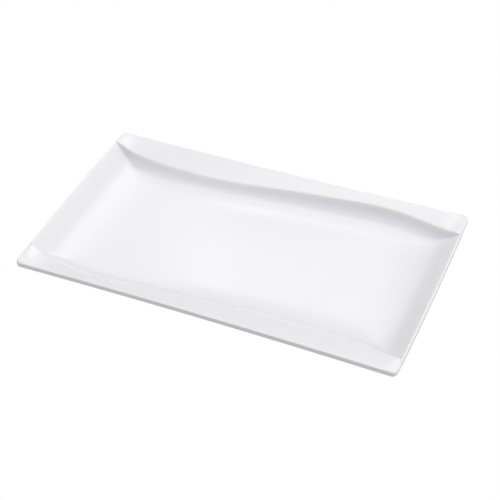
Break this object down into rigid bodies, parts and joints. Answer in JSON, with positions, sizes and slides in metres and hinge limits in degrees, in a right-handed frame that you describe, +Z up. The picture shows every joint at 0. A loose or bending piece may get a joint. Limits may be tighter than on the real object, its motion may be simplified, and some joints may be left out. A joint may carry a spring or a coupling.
{
  "type": "china serving platter",
  "caption": "Shallow rectangular porcelain serving platter with two S-edged sloping rims, long swept end coves, thin end lips and a foot ring with a bare standing face.",
  "frame": {"origin": "middle of the platter's plan, on the plane of the foot ring's standing face", "axes": "+X along the long sides, +Y across the platter, +Z up out of the well"},
  "size_m": [0.3374, 0.1932, 0.0227],
  "materials": {
    "bisque": "matt",
    "glaze": "gloss",
    "well_glaze": "gloss"
  },
  "bodies": {
    "root": {"porcelain_body": "bisque", "outer_glaze": "glaze", "well_glaze": "well_glaze"}
  },
  "joints": []
}
